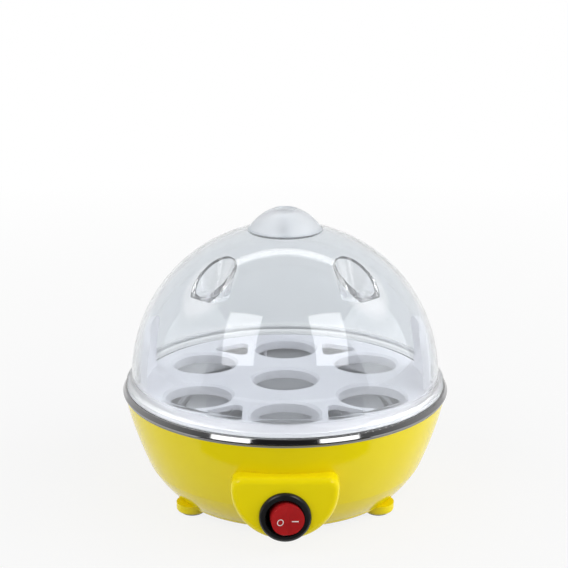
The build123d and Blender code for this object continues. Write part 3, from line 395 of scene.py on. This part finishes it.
lidLook = {
    "colour": (0.825, 0.85, 0.872), "drift": (0.812, 0.838, 0.862), "gloss": (0.015, 0.05),
    "skinScale": 1200.0, "smudgeScale": 22.0, "relief": 0.02, "wave": 0.0,
    "transmission": 0.935, "ior": 1.49, "specular": 1.0, "sheen": 0.08, "shadeColour": (0.86, 0.88, 0.90),
    "paintedPaleColour": (0.93, 0.942, 0.953), "flangeFrost": 0.22, "thickFrost": 0.08, "flangeTop": (0.0605, 0.063),
    "pocketSpot": (0.0336, -0.0336, 0.0), "pocketReach": (0.0115, 0.0135),
}
lidPlastic, lidTree, lidShader = clearPlastic("lidPlastic", lidLook)
onFlange, onThick = thickSpots(lidTree, lidLook)
# painted highlight: the flange and pockets get a paler tint so they read whiter, standing in for light they catch; the
# frost below is real roughness
paintedPaleTint = mixNode(lidTree, "RGBA", onThick, source(lidShader, "Base Color"), opaque(lidLook["paintedPaleColour"]))
lidTree.links.new(paintedPaleTint, lidShader.inputs["Base Color"])
frost = mathNode(lidTree, "ADD", mathNode(lidTree, "MULTIPLY", onFlange, lidLook["flangeFrost"]),
                 mathNode(lidTree, "MULTIPLY", onThick, lidLook["thickFrost"]))
frosted = mathNode(lidTree, "ADD", source(lidShader, "Roughness"), frost)
lidTree.links.new(frosted, lidShader.inputs["Roughness"])
paint(lidPlastic, "lid_dome")

knobLook = {
    "colour": (0.90, 0.915, 0.935), "drift": (0.87, 0.89, 0.91), "gloss": (0.28, 0.42),
    "skinScale": 2000.0, "smudgeScale": 90.0, "relief": 0.25, "wave": 0.04,
    "transmission": 0.75, "ior": 1.49, "shadeColour": (0.8, 0.82, 0.84),
}
paint(clearPlastic("knobPlastic", knobLook)[0], "lid_knob")
print("lid and knob painted")

# merged copies of CAD meshes, for the pieces that take their place
copyLook = {"merge": 0.000002, "smooth": 32.0}


def mergedCopy(nodeName, name):
    piece = bpy.data.objects.new(name, nodes[nodeName].data.copy())
    bpy.context.scene.collection.objects.link(piece)
    makeActive(piece)
    bpy.ops.mesh.customdata_custom_splitnormals_clear()
    bpy.ops.object.mode_set(mode="EDIT")
    bpy.ops.mesh.select_all(action="SELECT")
    bpy.ops.mesh.remove_doubles(threshold=copyLook["merge"])
    bpy.ops.object.mode_set(mode="OBJECT")
    return piece


# rocker with rounded edges
capLook = {"flatAngle": 0.4, "round": 0.00045, "steps": 3, "limit": 40.0}
rockerCap = mergedCopy("rocker", "rockerCap")
bpy.ops.object.mode_set(mode="EDIT")
bpy.ops.mesh.select_all(action="SELECT")
bpy.ops.mesh.dissolve_limited(angle_limit=math.radians(capLook["flatAngle"]))
bpy.ops.object.mode_set(mode="OBJECT")
rounding = rockerCap.modifiers.new("rounding", "BEVEL")
rounding.width = capLook["round"]
rounding.segments = capLook["steps"]
rounding.limit_method = "ANGLE"
rounding.angle_limit = math.radians(capLook["limit"])
bpy.ops.object.modifier_apply(modifier="rounding")
smoothBelow(copyLook["smooth"])
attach(rockerCap, "rocker")
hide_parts("rocker")
print("rocker edges rounded")

# rocker marks: a ring on the raised facet and a bar on the pressed one, printed in white
markLook = {
    "ringRadius": 0.0015, "ringSteps": 64, "stroke": 0.0003, "barHalf": 0.0015, "barWide": 0.00046,
    "thick": 0.00012, "sunk": 0.00004, "softShare": 0.3, "softSteps": 2, "smooth": 35.0,
    "valley": (0.001042, -0.081909, 0.0192), "reach": 0.00335, "facetTurn": 20.0,
}
printLook = {
    "colour": (0.92, 0.92, 0.91), "drift": (0.84, 0.83, 0.82), "gloss": (0.35, 0.5),
    "skinScale": 3000.0, "smudgeScale": 400.0, "relief": 0.2, "wave": 0.05,
}
printPaint = mouldedPlastic("printPaint", printLook)[0]


def raiseMark(mark):  # a flat outline at z 0 becomes a low print with softened edges
    bpy.ops.object.mode_set(mode="EDIT")
    bpy.ops.mesh.select_all(action="SELECT")
    bpy.ops.transform.translate(value=(0.0, 0.0, -markLook["sunk"]))
    bpy.ops.mesh.extrude_region_move(TRANSFORM_OT_translate={"value": (0.0, 0.0, markLook["thick"])})
    bpy.ops.mesh.select_all(action="SELECT")
    bpy.ops.mesh.normals_make_consistent(inside=False)
    bpy.ops.object.mode_set(mode="OBJECT")
    soften = mark.modifiers.new("soften", "BEVEL")
    soften.width = markLook["thick"] * markLook["softShare"]
    soften.segments = markLook["softSteps"]
    soften.limit_method = "ANGLE"
    bpy.ops.object.modifier_apply(modifier="soften")


def layOnFacet(mark, side, name):  # side -1 is the raised facet, +1 the pressed one
    turn = math.radians(markLook["facetTurn"]) if side < 0 else 0.0
    along = Vector((side * math.cos(turn), -math.sin(turn), 0.0))
    mark.rotation_euler = (math.radians(90.0), 0.0, turn)
    mark.location = Vector(markLook["valley"]) + along * markLook["reach"]
    settle(mark)
    mark.name = name
    mark.data.name = name
    mark.data.materials.clear()
    mark.data.materials.append(printPaint)
    smoothBelow(markLook["smooth"])
    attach(mark, "rocker")


deselectAll()
bpy.ops.mesh.primitive_circle_add(vertices=markLook["ringSteps"], radius=markLook["ringRadius"], fill_type="NGON")
ringMark = bpy.context.object
bpy.ops.object.mode_set(mode="EDIT")
bpy.ops.mesh.select_all(action="SELECT")
bpy.ops.mesh.inset(thickness=markLook["stroke"], depth=0.0)
bpy.ops.mesh.delete(type="FACE")  # the middle stays selected after the inset
bpy.ops.object.mode_set(mode="OBJECT")
raiseMark(ringMark)
layOnFacet(ringMark, -1, "markRing")

deselectAll()
bpy.ops.mesh.primitive_plane_add(size=2.0 * markLook["barHalf"])
barMark = bpy.context.object
barMark.scale = (1.0, 0.5 * markLook["barWide"] / markLook["barHalf"], 1.0)
settle(barMark)
raiseMark(barMark)
layOnFacet(barMark, 1, "markBar")
print("rocker marks laid")

# screw heads with a cross recess, cut into merged copies of the screws
recessLook = {
    "cover_screws": {"name": "coverScrewHeads", "body": "base", "reach": 0.0515, "turns": (0.0, 60.0, 120.0, 180.0),
                     "span": 0.0036, "width": 0.0009, "depth": 0.0011},
    "knob_screw": {"name": "knobScrewHead", "body": "lid", "reach": 0.0, "turns": (0.0,),
                   "span": 0.0040, "width": 0.0010, "depth": 0.0012},
}
armLook = {"slants": (20.0, 110.0), "taper": (0.45, 0.6, 1.0), "topFacing": 0.9}


def crossArm(spot, look, turn):  # one arm of the recess, narrowing as it goes in
    deselectAll()
    bpy.ops.mesh.primitive_cube_add(size=1.0)
    arm = bpy.context.object
    arm.scale = (look["span"], look["width"], 2.0 * look["depth"])
    settle(arm)
    bpy.ops.object.mode_set(mode="EDIT")
    bpy.ops.mesh.select_all(action="DESELECT")
    bpy.ops.object.mode_set(mode="OBJECT")
    for face in arm.data.polygons:
        face.select = face.normal.z > armLook["topFacing"]
    bpy.ops.object.mode_set(mode="EDIT")
    bpy.ops.transform.resize(value=armLook["taper"])
    bpy.ops.object.mode_set(mode="OBJECT")
    arm.rotation_euler = (0.0, 0.0, math.radians(turn))
    arm.location = spot
    settle(arm)
    return arm


def recessHeads(nodeName, look):
    screws = mergedCopy(nodeName, look["name"])
    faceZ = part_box(nodeName)[0].z
    for turn in look["turns"]:
        way = math.radians(turn)
        spot = (look["reach"] * math.cos(way), look["reach"] * math.sin(way), faceZ)
        for slant in armLook["slants"]:
            arm = crossArm(spot, look, turn + slant)
            makeActive(screws)
            cut = screws.modifiers.new("recess", "BOOLEAN")
            cut.operation = "DIFFERENCE"
            cut.solver = "EXACT"
            cut.object = arm
            bpy.ops.object.modifier_apply(modifier="recess")
            bpy.data.objects.remove(arm)
    makeActive(screws)
    smoothBelow(copyLook["smooth"])
    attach(screws, look["body"])
    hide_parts(nodeName)


for nodeName, look in recessLook.items():
    recessHeads(nodeName, look)
print("screw heads recessed")


# pale floor that keeps the shadow and turns white to the eye
def straightRays(tree, rays):  # no diffuse bounce yet, so that the white adds no light to the object
    return mathNode(tree, "LESS_THAN", rays.outputs["Diffuse Depth"], 0.5)


floorLook = {
    "side": 14.0, "colour": (0.66, 0.66, 0.665), "rough": 0.9, "specular": 0.0,
    "whiteShare": (0.85, 1.0), "whiteReach": (0.1, 0.75),
}


def buildFloor():
    deselectAll()
    bpy.ops.mesh.primitive_plane_add(size=floorLook["side"])
    floor = bpy.context.object
    floor.name = "floor"
    mat, tree, shader, output = newMaterial("floorPaper")
    shader.inputs["Base Color"].default_value = opaque(floorLook["colour"])
    shader.inputs["Roughness"].default_value = floorLook["rough"]
    shader.inputs["Specular IOR Level"].default_value = floorLook["specular"]
    white = addNode(tree, "ShaderNodeEmission")
    rays = addNode(tree, "ShaderNodeLightPath")
    passed = mathNode(tree, "MAXIMUM", rays.outputs["Is Glossy Ray"], rays.outputs["Is Transmission Ray"])
    mirrored = mathNode(tree, "MULTIPLY", passed, straightRays(tree, rays))
    seen = mathNode(tree, "MAXIMUM", rays.outputs["Is Camera Ray"], mirrored)
    apart = addNode(tree, "ShaderNodeVectorMath", operation="LENGTH")
    tree.links.new(addNode(tree, "ShaderNodeTexCoord").outputs["Object"], apart.inputs[0])
    share = rangeNode(tree, apart.outputs["Value"], *floorLook["whiteReach"], *floorLook["whiteShare"])
    blend = addNode(tree, "ShaderNodeMixShader")
    tree.links.new(mathNode(tree, "MULTIPLY", seen, share), blend.inputs[0])
    tree.links.new(shader.outputs[0], blend.inputs[1])
    tree.links.new(white.outputs[0], blend.inputs[2])
    tree.links.new(blend.outputs[0], output.inputs["Surface"])
    floor.data.materials.append(mat)


# dark cloth in front of the object that only gloss and metal can see, its near edge given by points on one side
cardLook = {
    "near": ((0.0, -0.095), (0.0435, -0.0934), (0.0806, -0.0778), (0.7, -0.5)), "far": (1.2, -1.4),
    "lift": 0.0004, "colour": (0.01, 0.01, 0.01), "rough": 1.0,
}


def buildDarkCard():
    deselectAll()
    near, far = cardLook["near"], cardLook["far"]
    steps = len(near) - 1
    bpy.ops.mesh.primitive_grid_add(x_subdivisions=2 * steps, y_subdivisions=1, size=2.0 * steps)
    card = bpy.context.object
    card.name = "darkCard"
    for corner in card.data.vertices:
        step = round(abs(corner.co.x))
        place = near[step] if corner.co.y > 0.0 else (far[0] * step / steps, far[1])
        corner.co = (math.copysign(place[0], corner.co.x), place[1], cardLook["lift"])
    mat, tree, shader, output = newMaterial("darkCloth")
    shader.inputs["Base Color"].default_value = opaque(cardLook["colour"])
    shader.inputs["Roughness"].default_value = cardLook["rough"]
    card.data.materials.append(mat)
    card.visible_camera = False
    card.visible_diffuse = False
    card.visible_transmission = False
    card.visible_shadow = False


# world: white to the eye, a soft fill for the object, dimmer in front so that gloss has contrast
worldLook = {"fill": 0.25, "frontDim": 0.03, "backBright": 0.8, "dimReach": (-0.7, 0.75)}


def buildWorld():
    world = bpy.data.worlds.new("studio")
    bpy.context.scene.world = world
    world.use_nodes = True
    tree = world.node_tree
    backdrop = tree.nodes["Background"]
    parts = addNode(tree, "ShaderNodeSeparateXYZ")
    tree.links.new(addNode(tree, "ShaderNodeTexCoord").outputs["Generated"], parts.inputs[0])
    mirror = rangeNode(tree, parts.outputs["Y"], *worldLook["dimReach"], worldLook["frontDim"], worldLook["backBright"])
    rays = addNode(tree, "ShaderNodeLightPath")
    straight = straightRays(tree, rays)
    glossy = mathNode(tree, "MULTIPLY", rays.outputs["Is Glossy Ray"], straight)
    through = mathNode(tree, "MULTIPLY", rays.outputs["Is Transmission Ray"], straight)
    level = mixNode(tree, "FLOAT", glossy, worldLook["fill"], mirror)
    level = mixNode(tree, "FLOAT", through, level, 1.0)
    level = mixNode(tree, "FLOAT", rays.outputs["Is Camera Ray"], level, 1.0)
    tree.links.new(level, backdrop.inputs["Strength"])
    backdrop.inputs["Color"].default_value = (1.0, 1.0, 1.0, 1.0)


# lamps: angles in degrees round the object and up from its middle, powers for left and right
aim = Vector((0.0, 0.0, 0.09))
pairLooks = {
    "box": {"turn": 41.0, "rise": 37.0, "far": 1.15, "wide": 0.5, "high": 0.76, "power": (2.9, 2.9), "roll": -14.0},
    "glint": {"turn": 41.0, "rise": 37.0, "far": 1.17, "wide": 0.5, "high": 0.76, "power": (1.3, 1.3), "roll": -14.0,
              "hidden": "visible_diffuse"},  # brightens the windows in gloss alone
    "side": {"turn": 85.0, "rise": 22.0, "far": 1.35, "wide": 1.2, "high": 1.2, "power": (8.0, 14.0), "roll": 0.0,
             "hidden": "visible_glossy"},
}
stripLook = {"turn": 180.0, "rise": 62.0, "far": 1.2, "wide": 1.1, "high": 0.16, "power": (1.7,), "roll": 0.0}


def softBox(name, look, side, power):
    lamp = bpy.data.lights.new(name, "AREA")
    lamp.shape = "RECTANGLE"
    lamp.size = look["wide"]
    lamp.size_y = look["high"]
    lamp.energy = power
    box = bpy.data.objects.new(name, lamp)
    bpy.context.scene.collection.objects.link(box)
    turn, rise = side * math.radians(look["turn"]), math.radians(look["rise"])
    flat = look["far"] * math.cos(rise)
    box.location = aim + Vector((flat * math.sin(turn), -flat * math.cos(turn), look["far"] * math.sin(rise)))
    facing = (aim - box.location).to_track_quat("-Z", "Y").to_matrix()
    box.rotation_euler = (facing @ Matrix.Rotation(side * math.radians(look["roll"]), 3, "Z")).to_euler()
    if "hidden" in look:
        setattr(box, look["hidden"], False)


buildFloor()
buildDarkCard()
buildWorld()
for place, (name, side) in enumerate((("Left", -1.0), ("Right", 1.0))):
    for kind, look in pairLooks.items():
        softBox(kind + name, look, side, look["power"][place])
softBox("topStrip", stripLook, 1.0, stripLook["power"][0])

# camera, fitted to the photograph
cameraLook = {"place": (0.0, -0.645662, 0.286939), "tip": 15.867, "lens": 89.64, "sensor": 36.0, "shift": -0.00208,
              "clip": (0.01, 50.0)}
eye = bpy.data.cameras.new("eye")
eye.lens = cameraLook["lens"]
eye.sensor_width = cameraLook["sensor"]
eye.shift_x = cameraLook["shift"]
eye.clip_start, eye.clip_end = cameraLook["clip"]
eyeStand = bpy.data.objects.new("eye", eye)
bpy.context.scene.collection.objects.link(eyeStand)
eyeStand.location = cameraLook["place"]
eyeStand.rotation_euler = (math.radians(90.0 - cameraLook["tip"]), 0.0, 0.0)
bpy.context.scene.camera = eyeStand
bpy.context.scene.view_settings.view_transform = "Standard"
print("stage set")
